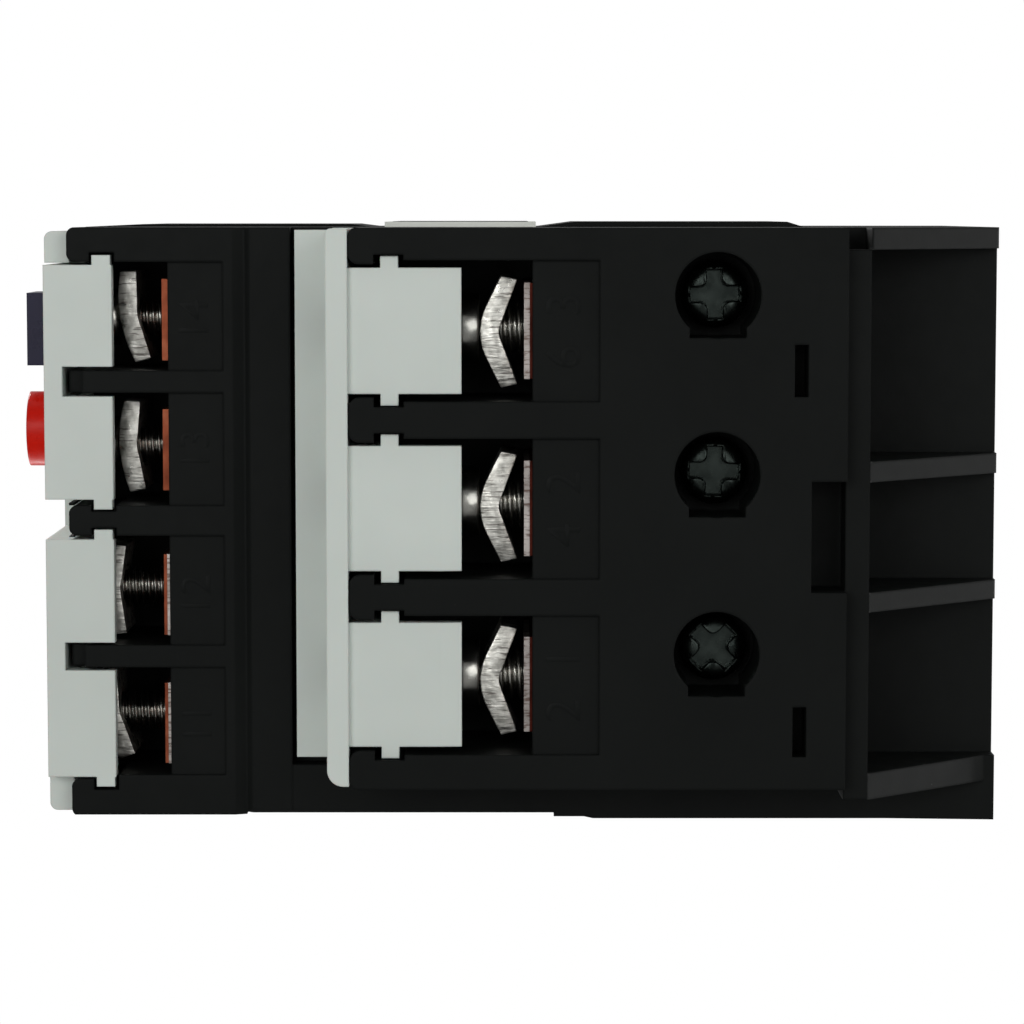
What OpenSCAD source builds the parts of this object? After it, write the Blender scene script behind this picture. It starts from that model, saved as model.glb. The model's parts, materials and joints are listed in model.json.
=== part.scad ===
// Three-pole thermal overload relay that plugs under a motor contactor.
// Frame: X to the right seen from the front, Y from front to rear, Z up.
// The load terminals face down (z = 0), the plug-in pins point up.

/* [Housing] */
// Overall width of the housing
body_w = 45; // [44.6:0.1:46]
// Height of the housing without the plug-in pins
body_h = 46; // [45:0.5:50]
// Wall thickness of the moulded shells
wall = 1.8; // [1.4:0.1:2]

/* [Poles] */
// Distance between neighbouring poles
pole_pitch = 13; // [12.8:0.1:13.2]
// Diameter of the plug-in pins
pin_d = 4; // [3:0.1:4.4]
// Height of the plug-in pins above the housing
pin_rise = 20; // [14:0.5:24]

/* [Terminals] */
// Thread diameter of the power terminal screws
power_thread_d = 4; // [3.5:0.1:4]
// Thread diameter of the auxiliary terminal screws
aux_thread_d = 3; // [2.5:0.1:3]
// Thickness of the pressed V clamps
clamp_t = 1.35; // [1:0.05:1.5]

/* [Controls] */
// Diameter of the setting dial
dial_d = 11; // [9:0.5:11]
// How far the reset and stop buttons stand out of the panel
button_rise = 3.9; // [2.8:0.1:4.5]

/* [Hidden] */
$fn = 64;
eps = 0.01;

half_w = body_w / 2;

// Pole centres: the power block sits against the right side of the housing
pole_x = [15, 15 - pole_pitch, 15 - 2 * pole_pitch];

// Power block, from its front edge to its rear edge
block_left = -18.75;
block_front = -10.65;
block_rear = 25.8;
cavity_half = 5.15;
cavity_rear = 2.8;
cavity_top = 12.2;
head_half = 4.85;
head_depth = 1.85;
head_r = 0.8;
groove_half = 5.55;
groove_depth = 2.2;
label_rear = 7.7;
label_deep = 0.35;

// Levels
upper_z = 10.3;
rear_z = 12;
floor_z = 13.8;
roof_z = body_h - wall;
inner_w = half_w - wall - 0.1;

// Housing ends along Y
front_y = -34.3;
mech_front = -32.4;
mech_rear = -15.5;
rear_y = 38.2;

// Power terminals
power_z = 7.2;
power_apex = -1.07;
power_clamp_w = 8.3;
power_clamp_shift = -0.2;
power_clamp_z = [4.6, 10.6];
power_tip = 1.55;
shroud_half = 4.6;
shroud_bottom = 0.5;
shroud_top = 11.4;
shroud_rear = -2.4;
shroud_block_rear = -7.6;
driver_hole_r = 3;

// Auxiliary terminals, numbered from the left seen from the front
aux_x = [-15.4, -5.5, 5.6, 15.5];
aux_apex = [-30.5, -30.4, -29, -28.85];
aux_tilt = [-12, 0, -3.3, -9.2];
aux_z = 18;
aux_clamp_w = 7.1;
aux_clamp_z = [14.7, 21.2];
aux_tip = 0.57;
aux_front = -34.2;
aux_rear = -29;
aux_top = 22.5;
aux_cavity = [[-19.3, -11], [-9.3, -0.9], [1.4, 9.99], [11.66, 19.9]];
aux_wall_y = -24.8;
aux_label_rear = -20.6;
aux_floor = 24.3;

// Thermal part
bimetal_y = [7.5, 12.5];
bimetal_foot = 15.2;
bimetal_tip = 38;
bar_z = [39, 41];
pin_y = 2;

// Contacts
contact_front = -28.3;
nc_tab_z = 39;
no_tab_z = 33.4;
bridge_t = 0.8;
button_t = 0.6;
nc_bridge_z = 36.95;
carrier_z = [36, 39.4];

// Controls on the panel: position [x, z]
dial_at = [-9, 31];
reset_half = [2.95, 3];
stop_r = 3.05;
reset_at = [14.15, 33];
stop_at = [5.95, 31.9];
test_at = [16.5, 40.5];
flag_at = [0, 39.5];
button_back = -31.5;
spring_seat = -26.4;

// Window over the setting dial
window_x = [-20.6, -2.8];
window_bottom = 24.6;
hinge_y = -33.3;
hinge_z = 43.9;
hinge_r = 0.95;
hinge_pin_r = 0.5;

black = "#1b1c1c";
grey = "#b4bbb8";
zinc = "#c3c6c4";
copper = "#b06a3c";

// A box between two corners
module box(x0, x1, y0, y1, z0, z1) {
    translate([x0, y0, z0]) cube([x1 - x0, y1 - y0, z1 - z0]);
}

// A round bar along Y
module rod_y(r, x, z, y0, y1) {
    translate([x, y0, z]) rotate([-90, 0, 0]) cylinder(r = r, h = y1 - y0);
}

// A round bar along Z
module rod_z(r, x, y, z0, z1) {
    translate([x, y, z0]) cylinder(r = r, h = z1 - z0);
}

// A round bar along X
module rod_x(r, y, z, x0, x1) {
    translate([x0, y, z]) rotate([0, 90, 0]) cylinder(r = r, h = x1 - x0);
}

// A plate with its outline in Y and Z, between two X positions
module side_plate(points, x0, x1) {
    translate([x0, 0, 0]) rotate([90, 0, 90]) linear_extrude(x1 - x0) polygon(points);
}

// ---- Shells ----

gusset_x = [[20.9, half_w], [3.84, 5.36], [-5.78, -4.32], [-19.73, -17.76]];
strip_rear = 27.6;
strip_z = 1.5;
gusset_end_z = 11;

module gussets() {
    outline = [
        [strip_rear - eps, strip_z], [rear_y, gusset_end_z],
        [rear_y, rear_z + eps], [strip_rear - eps, rear_z + eps]
    ];
    for (g = gusset_x) side_plate(outline, g[0], g[1]);
}

// What is cut from a wall's end to round it, with the corner at the origin
module rounded_end(r, h) difference() {
    translate([-eps, -eps, 0]) cube([r + eps, r + eps, h]);
    translate([r, r, -1]) cylinder(r = r, h = h + 2);
}

// One power terminal: entry, guide grooves, label recess, nut pocket and screw hole
module power_cavity(x) {
    box(x - cavity_half, x + cavity_half, block_front + head_depth, cavity_rear, -eps, cavity_top);
    box(x - head_half, x + head_half, block_front - eps, block_front + head_depth + eps, -eps, cavity_top);
    box(
        x - groove_half, x + groove_half,
        block_front + head_depth, block_front + head_depth + groove_depth, -eps, cavity_top
    );
    for (s = [-1, 1]) translate([x + s * head_half, block_front, -eps]) scale([s, 1, 1])
        rounded_end(head_r, cavity_top);
    box(x - cavity_half, x + cavity_half, cavity_rear - eps, label_rear, -eps, label_deep);
    box(x - 3.05, x + 3.05, cavity_rear - eps, cavity_rear + 2.3, power_z - 3, power_z + 3);
    rod_y(2.3, x, power_z, cavity_rear + 2, cavity_rear + 7.2);
    box(x - 3.6, x + 3.6, cavity_rear - 0.65, cavity_rear, cavity_top - eps, floor_z + eps);
}

fix_x = [17.6, 4.5, -8.7];
fix_y = 16.3;
fix_hole_r = 3.15;
fix_head_z = 4;
fix_shaft_r = 1.5;

// Keyhole-shaped well of one heater fixing screw
module fixing_well(x) {
    rod_z(fix_hole_r, x, fix_y, -eps, fix_head_z + 2.4);
    box(x - 3.1, x, fix_y - 2.075, fix_y + 2.075, -eps, fix_head_z + 2.4);
    rod_z(fix_shaft_r + 0.1, x, fix_y, fix_head_z, floor_z + eps);
}

slot_x = [[10.2, 14], [-16.3, -12.6]];

module block_recesses() {
    for (s = slot_x) box(s[0], s[1], 21.9, 22.9, -eps, 3);
    box(-4.15, 4, 23.2, block_rear + eps, -eps, 4.5);
    box(20.9, half_w + eps, block_rear - eps, strip_rear + eps, -eps, 6);
}

vent_count = 4;
vent_step = 4;
vent_w = 1.4;
vent_y = [27, 34.5];

pad_z = [18, 40];
pad_t = 0.4;
pad_outline = [[3.3, 0], [6.2, pad_t], [22.7, pad_t], [24, 0], [24, -0.5], [3.3, -0.5]];
label_y = [-8.6, 3.2];
panel_t = 0.2;
panel_z = [24, 44];
valley_y = -19;

// A shallow raised area on one side, its outline given as [y, height above the side]
module swell(side, outline, z0, z1) {
    translate([0, 0, z0]) linear_extrude(z1 - z0) polygon([for (p = outline) [side * (half_w + p[1]), p[0]]]);
}

// Passage of the trip lever between the two chambers
module lever_window(y0, y1) {
    box(-19.4, -13.4, y0, y1, 37.5, 42.5);
}

module base_housing() color(black) difference() {
    union() {
        box(-half_w, half_w, mech_rear, strip_rear, upper_z, body_h);
        box(-half_w, half_w, strip_rear - eps, rear_y, rear_z, body_h);
        box(block_left, half_w, block_front, block_rear, 0, upper_z + eps);
        box(-19.7, half_w, block_rear - eps, strip_rear, strip_z, upper_z + eps);
        gussets();
        box(-half_w, -17.76, strip_rear - eps, rear_y, upper_z, rear_z + eps);
        for (side = [-1, 1]) swell(side, pad_outline, pad_z[0], pad_z[1]);
        swell(-1, [[4.5, -0.5], [7.5, 0.15], [30, 0.15], [rear_y, 0.25], [rear_y, -0.5]], upper_z, pad_z[0]);
        swell(1, [
            [mech_rear, -0.5], [mech_rear, panel_t], [-11.5, panel_t], [-9.9, 0], [-9.9, -0.5]
        ], panel_z[0], panel_z[1]);
    }
    difference() {
        box(-half_w + wall, half_w - wall, mech_rear + wall, rear_y + eps, floor_z, roof_z);
        for (x = [8.5, -4.5]) box(x - 0.8, x + 0.8, -2, rear_y - 4, floor_z - eps, 34);
        rod_z(2.4, lever_at[0], lever_at[1], floor_z - eps, 35.8);
    }
    lever_window(mech_rear - eps, mech_rear + wall + eps);
    for (x = pole_x) {
        power_cavity(x);
        rod_z(pin_d / 2 - 0.15, x, pin_y, roof_z - eps, body_h + eps);
    }
    for (x = fix_x) fixing_well(x);
    rod_z(lever_pin_r + 0.02, lever_at[0], lever_at[1], 30, 36);
    block_recesses();
    for (k = [-vent_count : vent_count]) translate([k * vent_step, 0, 0])
        box(-vent_w / 2, vent_w / 2, vent_y[0], vent_y[1], roof_z - eps, body_h + eps);
    // seat of the grey cover's ledge
    box(-18.5, half_w + eps, mech_rear - eps, block_front + eps, upper_z - eps, 12.1);
    box(-18.6, half_w + eps, -12.4, block_front - 0.03, -eps, 12.1);
    translate([block_left, block_front, -eps]) rounded_end(0.6, upper_z);
    translate([half_w, block_front, -eps]) scale([-1, 1, 1]) rounded_end(0.6, upper_z);
    // lower edge of the left side, set back below the label
    box(-half_w - eps, -half_w + 0.3, mech_rear - eps, 4.5, upper_z - eps, pad_z[0] - 0.5);
}

module rear_cover() color(black) difference() {
    union() {
        box(-inner_w, inner_w, rear_y - wall, rear_y, floor_z + 0.1, roof_z - 0.1);
        for (x = [-12, 12])
            box(x - 4, x + 4, rear_y - 3.2, rear_y - wall + eps, floor_z + 0.15, floor_z + 1.6);
    }
    for (z = [18 : 3 : 39]) box(-14, 14, rear_y - 0.5, rear_y + eps, z, z + 1.2);
}

mid_wall = [-0.9, 1.4];
mid_neck = [-0.3, 0.95];
tongue_y = [-30.6, -29];

aux_open = [[-19.6, -11], [-9.3, -1], [1.6, 9.99], [11.66, 19.9]];
end_r = 0.6;

module aux_cavities() {
    for (c = aux_cavity) {
        box(c[0], c[1], aux_rear - 3, aux_wall_y, upper_z - eps, aux_top);
        box(c[0], c[1], aux_wall_y - eps, aux_label_rear, upper_z - eps, upper_z + 0.3);
    }
    // open front behind the shrouds, on both sides of each fin
    for (c = aux_open) box(c[0], c[1], mech_front - eps, tongue_y[0], upper_z - eps, aux_top);
    for (k = [0, 2]) box(
        aux_open[k][1] - eps, aux_open[k + 1][0] + eps, mech_front - eps, mech_front + 1.1,
        upper_z - eps, upper_z + 1
    );
    // guide grooves for the shroud tongues
    box(-20.45, -19.2, tongue_y[0] - 0.1, tongue_y[1] + 0.2, upper_z - eps, aux_top);
    box(19.8, 20.6, tongue_y[0] - 0.1, tongue_y[1] + 0.2, upper_z - eps, aux_top);
    box(mid_neck[1], mid_wall[1] + eps, tongue_y[0] - 0.1, tongue_y[1] + 0.2, upper_z - eps, aux_top);
    box(mid_wall[0] - eps, mid_neck[0], tongue_y[0] - 0.1, tongue_y[1] + 0.2, upper_z - eps, aux_top);
    for (x = aux_x) {
        box(x - 2.6, x + 2.6, aux_wall_y - eps, aux_wall_y + 2.05, aux_z - 2.6, aux_z + 2.6);
        rod_y(aux_thread_d / 2 + 0.3, x, aux_z, aux_wall_y + 2, aux_wall_y + 7.4);
        box(x - 1.6, x + 1.6, aux_wall_y - 0.55, aux_wall_y, aux_top - eps, aux_floor + eps);
    }
}

module mechanism_housing() color(black) difference() {
    union() {
        box(-half_w, half_w, mech_front, mech_rear, upper_z, body_h);
        swell(1, [
            [mech_front, -0.5], [mech_front, 0], [-28, panel_t], [mech_rear, panel_t], [mech_rear, -0.5]
        ], panel_z[0], panel_z[1]);
    }
    difference() {
        box(-half_w + wall, half_w - wall, mech_front - eps, mech_rear - wall, aux_floor, roof_z);
        // seat of the reset and stop springs, lower under the foot of the contact carrier
        difference() {
            box(2.5, 18, spring_seat, spring_seat + 0.8, aux_floor - eps, 35);
            box(8.9, 12.1, spring_seat - eps, spring_seat + 0.9, carrier_z[0] - 1.8, 36);
        }
        // bearing of the setting dial
        difference() {
            box(dial_at[0] - 2.5, dial_at[0] + 2.5, -30.2, -28.6, aux_floor - eps, dial_at[1] + 2.6);
            rod_y(dial_shaft_r + 0.05, dial_at[0], dial_at[1], -31, -28);
        }
    }
    aux_cavities();
    lever_window(mech_rear - wall - eps, mech_rear + eps);
    // shallow valley across the underside
    side_plate([
        [valley_y - 0.9, upper_z - eps], [valley_y, upper_z + 0.35], [valley_y + 0.5, upper_z - eps]
    ], -half_w - eps, half_w + eps);
    box(-half_w - eps, -half_w + 0.13, mech_front - eps, valley_y, upper_z - eps, pad_z[0] - 0.5);
    box(-half_w - eps, -half_w + 0.3, valley_y - eps, mech_rear + eps, upper_z - eps, pad_z[0] - 0.5);
    // rounded front ends of the three walls
    for (e = [[-half_w, 1], [-19.6, -1], [mid_wall[0], 1], [mid_wall[1], -1], [19.9, 1], [half_w, -1]])
        translate([e[0], mech_front, upper_z - eps]) scale([e[1], 1, 1])
            rounded_end(end_r, aux_top - upper_z);
}

cover_x = [-22.3, 22.2];
rim_h = 1.2;

module front_cover() color(grey) difference() {
    union() {
        box(cover_x[0], cover_x[1], front_y, mech_front, 12, body_h);
        // rim that centres the cover in the housing
        difference() {
            box(-inner_w, inner_w, mech_front - eps, mech_front + rim_h, aux_floor + 0.1, roof_z - 0.1);
            box(
                -inner_w + rim_h, inner_w - rim_h, mech_front - 1, mech_front + rim_h + 0.1,
                aux_floor + 0.1 + rim_h, roof_z - 0.1 - rim_h
            );
        }
    }
    for (s = [0, 1]) translate([cover_x[s], front_y, 12 - eps]) scale([1 - 2 * s, 1, 1])
        rounded_end(end_r, body_h);
    // opening for the two auxiliary shrouds
    box(-19.6, 19.8, front_y - eps, mech_front + 0.5, 11, aux_top + 0.1);
    // window recess and its hinge trough
    box(window_x[0] - 0.2, window_x[1] + 0.2, front_y - eps, front_y + 1.15, window_bottom - 0.2, hinge_z);
    box(window_x[0] - 0.2, window_x[1] + 0.2, front_y - eps, mech_front + 1.5, hinge_z - 1.5, 45.4);
    rod_x(hinge_pin_r + 0.02, hinge_y, hinge_z, window_x[0] - 1.4, window_x[1] + 1.4);
    rod_y(dial_d / 2 + 0.2, dial_at[0], dial_at[1], front_y - eps, mech_front + 1.3);
    box(
        reset_at[0] - reset_half[0] - 0.2, reset_at[0] + reset_half[0] + 0.2, front_y - eps, mech_front + eps,
        reset_at[1] - reset_half[1] - 0.2, reset_at[1] + reset_half[1] + 0.2
    );
    rod_y(stop_r + 0.25, stop_at[0], stop_at[1], front_y - eps, mech_front + eps);
    rod_y(1.8, test_at[0], test_at[1], front_y - eps, mech_front + eps);
    translate([flag_at[0], 0, flag_at[1]]) box(-1.9, 1.9, front_y - eps, mech_front + 1.3, -3.3, 1.9);
}

// ---- Grey terminal covers ----

module power_shroud(x) translate([x, 0, 0]) difference() {
    union() {
        box(-shroud_half, shroud_half, block_front - 0.1, shroud_block_rear, shroud_bottom, shroud_top);
        side_plate([
            [shroud_block_rear - eps, shroud_bottom], [-3.9, shroud_bottom],
            [shroud_rear, shroud_bottom + 0.12], [shroud_rear, 1.7], [shroud_block_rear - eps, 1.7]
        ], -shroud_half, shroud_half);
        box(-5.45, 5.45, -8.3, -7, shroud_bottom, 1.7);
        box(-5.45, 5.45, -8.3, shroud_block_rear, 1.7 - eps, shroud_top);
    }
    rod_y(driver_hole_r, 0, power_z, block_front - 2, shroud_block_rear + eps);
}

module power_terminal_cover() color(grey) {
    difference() {
        union() {
            box(-18.5, 22.45, -12.3, block_front - 0.05, 0, 12);
            box(-17.9, 22.3, -15.15, -12.3 + eps, upper_z, 12);
        }
        for (x = pole_x) rod_y(driver_hole_r, x, power_z, -12.4, block_front + eps);
        translate([-18.5, -12.3, -eps]) rounded_end(1.2, upper_z);
        translate([22.45, -12.3, -eps]) scale([-1, 1, 1]) rounded_end(0.4, upper_z);
    }
    for (x = pole_x) power_shroud(x);
}

// A shroud over two auxiliary terminals, with a slot for the fin between them
module aux_shroud(x0, x1, slot, tongues, holes) {
    difference() {
        union() {
            box(x0, x1, aux_front, -32.8, upper_z, aux_top);
            box(x0, x1, -32.8 - eps, -31.9, upper_z, aux_top);
            box(x0, x1, -31.9 - eps, aux_rear, upper_z, upper_z + 1.2);
            for (t = tongues) box(t[0], t[1], -30.5, -29.1, upper_z, upper_z + 1.2);
        }
        box(slot[0], slot[1], -32.8, aux_rear + eps, upper_z - eps, aux_top + eps);
        for (x = holes) rod_y(2.5, x, aux_z, aux_front - eps, -31.8);
    }
}

module aux_shroud_right() color(grey)
    aux_shroud(1.85, 19.66, [9.7, 11.96], [[1.1, 1.9], [19.6, 20.4]], [aux_x[2], aux_x[3]]);

module aux_shroud_left() color(grey)
    aux_shroud(-19.45, -1.2, [-11.24, -9.1], [[-20.2, -19.4], [-1.25, -0.45]], [aux_x[0], aux_x[1]]);

module window_cover() color("#c8d4d8", 0.4) difference() {
    union() {
        box(window_x[0], window_x[1], front_y, front_y + 1, window_bottom, hinge_z);
        rod_x(hinge_r, hinge_y, hinge_z, window_x[0], window_x[1]);
        box(-13, -10, front_y + 0.1, front_y + 1, window_bottom - 0.15, window_bottom + eps);
    }
    rod_x(hinge_pin_r + 0.05, hinge_y, hinge_z, window_x[0] - eps, window_x[1] + eps);
}

module window_hinge_pin() color(zinc)
    rod_x(hinge_pin_r, hinge_y, hinge_z, window_x[0] - 1.3, window_x[1] + 1.3);

module rating_label(s) color(grey) scale([s, 1, 1])
    box(half_w, half_w + pad_t, label_y[0], label_y[1] - 0.05, pad_z[0], pad_z[1]);

module contactor_hook() color(black) difference() {
    union() {
        box(-7, 7, 20, 24, body_h, body_h + 3);
        box(-5, 5, 21.2, 23.2, body_h + 3 - eps, body_h + 9);
        // barbed lip towards the front
        side_plate([
            [21.2 + eps, body_h + 9], [19.4, body_h + 7.2], [19.4, body_h + 6.4], [21.2 + eps, body_h + 6.4]
        ], -5, 5);
    }
    box(-1, 1, 19, 25, body_h + 4, body_h + 10);
}

// ---- Terminal hardware ----

// A V clamp seen along Z, with its apex at the front. It may sit askew on its screw
module v_clamp(w, tip, zs, hole_r, z, tilt = 0) {
    half = w / 2;
    difference() {
        translate([0, 0, zs[0]]) linear_extrude(zs[1] - zs[0]) rotate(tilt) polygon([
            [-half, tip], [-0.5, 0], [0.5, 0], [half, tip],
            [half - 0.5, tip + clamp_t], [0, clamp_t + 0.12], [0.5 - half, tip + clamp_t]
        ]);
        rod_y(hole_r, 0, z, -1, tip + clamp_t + 1);
    }
}

// A terminal screw with its head in front of the clamp and a cross recess
module terminal_screw(r, head_r, head_l, shaft_l) {
    difference() {
        union() {
            rod_y(head_r, 0, 0, -head_l, 0);
            rod_y(r, 0, 0, -eps, shaft_l);
        }
        for (a = [0, 90]) rotate([0, a, 0])
            box(-head_r * 0.62, head_r * 0.62, -head_l - eps, -head_l + 1.3, -0.4, 0.4);
    }
}

module power_screw(i) color(zinc) translate([pole_x[i], power_apex - 0.05, power_z])
    terminal_screw(power_thread_d / 2, 2.7, 2.6, 10.5);

module power_clamp(i) color(zinc) translate([pole_x[i] + power_clamp_shift, power_apex, 0])
    v_clamp(power_clamp_w, power_tip, power_clamp_z, power_thread_d / 2 + 0.5, power_z);

module load_terminal(i) color(copper) translate([pole_x[i], 0, 0]) difference() {
    union() {
        box(-3.5, 3.5, cavity_rear - 0.6, cavity_rear, 0.8, floor_z + 0.6);
        box(-3.5, 3.5, cavity_rear - 0.6, 19.5, floor_z, floor_z + 0.6);
        box(0.4, 1.2, bimetal_y[0], bimetal_y[1], floor_z + 0.5, 18);
    }
    rod_y(power_thread_d / 2 + 0.05, 0, power_z, 1, 4);
    rod_z(fix_shaft_r + 0.1, fix_x[i] - pole_x[i], fix_y, floor_z - 1, floor_z + 2);
}

module power_nut_plates() color(zinc) for (x = pole_x) difference() {
    box(x - 3, x + 3, cavity_rear, cavity_rear + 2.2, power_z - 2.95, power_z + 2.95);
    rod_y(power_thread_d / 2 + 0.05, x, power_z, cavity_rear - 1, cavity_rear + 3);
}

module aux_screw(i) color(zinc) translate([aux_x[i], aux_apex[i] - 0.25, aux_z])
    terminal_screw(aux_thread_d / 2, 2.2, 2.1, 9.4);

module aux_clamp(i) color(zinc) translate([aux_x[i], aux_apex[i], 0])
    v_clamp(aux_clamp_w, aux_tip, aux_clamp_z, aux_thread_d / 2 + 0.35, aux_z, aux_tilt[i]);

// Fixed contacts: the outer pair closes upward, the left pair closes downward
module aux_terminal(i) {
    closing = i > 1;
    top = closing ? nc_tab_z + 0.8 : no_tab_z + 0.8;
    side = i % 2 == 0 ? 1 : -1;
    color(copper) translate([aux_x[i], 0, 0]) {
        difference() {
            box(-3.1, 3.1, aux_wall_y - 0.5, aux_wall_y, 11.1, aux_top);
            rod_y(aux_thread_d / 2 + 0.05, 0, aux_z, aux_wall_y - 1, aux_wall_y + 1);
        }
        box(-1.5, 1.5, aux_wall_y - 0.5, aux_wall_y, aux_top - eps, top);
        box(-1.5, 1.5, contact_front, aux_wall_y, top - 0.8, top);
        if (closing) rod_z(1, 0, -27, top - 0.8 - button_t, top - 0.8 + eps);
        else rod_z(1, 0, -27, top - eps, top + button_t);
    }
}

module aux_nut_plates() color(zinc) for (x = aux_x) difference() {
    box(x - 2.5, x + 2.5, aux_wall_y, aux_wall_y + 2, aux_z - 2.5, aux_z + 2.5);
    rod_y(aux_thread_d / 2 + 0.05, x, aux_z, aux_wall_y - 1, aux_wall_y + 3);
}

// ---- Thermal part ----

module input_pin(i) color(copper) translate([pole_x[i], pin_y, 0]) {
    rod_z(pin_d / 2, 0, 0, body_h, body_h + pin_rise - 0.6);
    translate([0, 0, body_h + pin_rise - 0.6 - eps])
        cylinder(r1 = pin_d / 2, r2 = pin_d / 2 - 0.6, h = 0.6 + eps);
    rod_z(pin_d / 2 - 0.2, 0, 0, 40, body_h + eps);
    box(-2.5, 2.5, -0.6, 0.6, 35.5, 41);
}

module bimetal(i) color("#9a8f7d") translate([pole_x[i], 0, 0])
    box(-0.4, 0.38, bimetal_y[0], bimetal_y[1], bimetal_foot, bimetal_tip);

winding_turns = 9;
winding_pitch = 1.6;
winding_wire = 1.1;

module heater_winding(i) color("#8c7b6a") translate([pole_x[i], 0, 0]) difference() {
    union() {
        box(-1.1, 1.1, bimetal_y[0] - 0.7, bimetal_y[1] + 0.7, 19, 34);
        for (k = [0 : winding_turns - 1]) let (z = 19.5 + k * winding_pitch)
            box(-1.9, 1.9, bimetal_y[0] - 1.4, bimetal_y[1] + 1.4, z, z + winding_wire);
    }
    box(-0.42, 0.4, bimetal_y[0] - 0.02, bimetal_y[1] + 0.02, 18, 35);
}

module heater_fixing_screws() color("#1a1b1b") for (i = [0 : 2]) translate([fix_x[i], fix_y, fix_head_z]) {
    difference() {
        union() {
            rod_z(2.8, 0, 0, 0.5, 2.4);
            translate([0, 0, 0]) cylinder(r1 = 2.2, r2 = 2.8, h = 0.5 + eps);
            rod_z(fix_shaft_r, 0, 0, 2.4 - eps, floor_z - fix_head_z + 3);
        }
        for (a = [0, 90]) rotate([0, 0, a + (i == 2 ? 45 : 0)]) box(-1.9, 1.9, -0.5, 0.5, -eps, 1.4);
    }
}

// A slide bar with one finger per pole
module slide_bar(y0, y1, x0, x1, finger, finger_y) {
    box(x0, x1, y0, y1, bar_z[0], bar_z[1]);
    for (x = pole_x) box(x + finger[0], x + finger[1], finger_y[0], finger_y[1], 36.2, bar_z[0] + eps);
}

module drive_bar() color("#d9d4c6") slide_bar(8.5, 11.5, -15.9, 18.5, [-1.6, -0.6], [8.5, 11.5]);

module differential_bar() color("#c9a24a") slide_bar(12, 15, -14.5, 18.5, [0.6, 1.6], [12, 12.5]);

lever_at = [-17.4, -8];
lever_pin_r = 1;

module trip_lever() color("#d9d4c6") difference() {
    union() {
        rod_z(2.2, lever_at[0], lever_at[1], 36, 42);
        box(lever_at[0] - 0.3, lever_at[0] + 1.1, lever_at[1], 11.5, 38.8, 41.2);
        box(lever_at[0] - 0.7, lever_at[0] + 0.7, -12, lever_at[1], 38.8, 41.2);
    }
    rod_z(lever_pin_r + 0.05, lever_at[0], lever_at[1], 35, 43);
}

module trip_lever_pin() color(zinc)
    rod_z(lever_pin_r, lever_at[0], lever_at[1], 30.2, roof_z);

module compensation_strip() color("#9a8f7d")
    box(lever_at[0] - 0.4, lever_at[0] + 0.4, -26, -12, 38.9, 41.1);

// ---- Contact mechanism ----

module contact_carrier() color("#e0dccf") difference() {
    union() {
        box(-12, 10.5, -30.4, -28.6, carrier_z[0] + 1.4, carrier_z[1]);
        for (x = [-10.45, 10.55]) box(x - 1.4, x + 1.4, -28.6 - eps, -25.6, carrier_z[0], carrier_z[1]);
    }
    for (x = [-10.45, 10.55]) box(x - 2, x + 2, contact_front, -25.7, nc_bridge_z, nc_bridge_z + bridge_t);
}

module nc_bridge() color(copper) {
    box(4.3, 16.8, contact_front, -25.7, nc_bridge_z, nc_bridge_z + bridge_t);
    for (x = [aux_x[2], aux_x[3]]) rod_z(1, x, -27, nc_bridge_z + bridge_t - eps, nc_tab_z - button_t - 0.05);
}

module no_bridge() color(copper) {
    box(-16.7, -4.2, contact_front, -25.7, nc_bridge_z, nc_bridge_z + bridge_t);
    for (x = [aux_x[0], aux_x[1]]) rod_z(1, x, -27, nc_bridge_z - button_t, nc_bridge_z + eps);
}

module trip_flag() color("#e07b1f")
    box(flag_at[0] - 1.5, flag_at[0] + 1.5, -33.6, -30.4, flag_at[1] - 1.5, flag_at[1] + 1.4);

// ---- Controls ----

dial_shaft_r = 1.5;
dial_face = -33;

module setting_dial() color("#e9e7de") difference() {
    union() {
        rod_y(dial_d / 2, dial_at[0], dial_at[1], dial_face, -31.4);
        rod_y(dial_shaft_r, dial_at[0], dial_at[1], -31.5, -27);
    }
    rod_y(2.1, dial_at[0], dial_at[1], dial_face - eps, dial_face + 0.4);
    translate([dial_at[0], dial_face, dial_at[1]]) box(-1.8, 1.8, -eps, 1.2, -0.4, 0.4);
}

flange_y = -32.3;

// The flange behind the panel keeps each button in
module reset_button() color("#23212f") translate([reset_at[0], 0, reset_at[1]]) {
    box(-reset_half[0], reset_half[0], front_y - button_rise, flange_y + eps, -reset_half[1], reset_half[1]);
    box(-3.4, 3.4, flange_y, button_back, -3.3, 3.3);
}

module stop_button() color("#b91908") translate([stop_at[0], 0, stop_at[1]]) rotate([-90, 0, 0])
    rotate_extrude() polygon([
        [0, front_y - button_rise], [stop_r, front_y - button_rise],
        [stop_r, front_y - button_rise + 1.6], [2.2, front_y - button_rise + 2.45],
        [2.2, flange_y], [3.6, flange_y], [3.6, button_back], [0, button_back]
    ]);

spring_r = 1.9;
spring_wire_r = 0.22;
spring_turns = 5;

// A coil spring drawn as closed rings joined by a thin rail
module coil_spring(x, z) color(zinc) translate([x, 0, z]) {
    gap = (spring_seat - button_back - 2 * spring_wire_r - 0.04) / (spring_turns - 1);
    for (k = [0 : spring_turns - 1])
        translate([0, button_back + 0.02 + spring_wire_r + k * gap, 0]) rotate([90, 0, 0])
            rotate_extrude() translate([spring_r, 0]) circle(r = spring_wire_r, $fn = 16);
    box(
        spring_r - 0.1, spring_r + 0.1, button_back + 0.1, spring_seat - 0.1, -0.1, 0.1
    );
}

module test_button() color("#b91908") {
    rod_y(1.4, test_at[0], test_at[1], -33.7, -31.5);
    rod_y(2.4, test_at[0], test_at[1], -31.6, -30.8);
}

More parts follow.
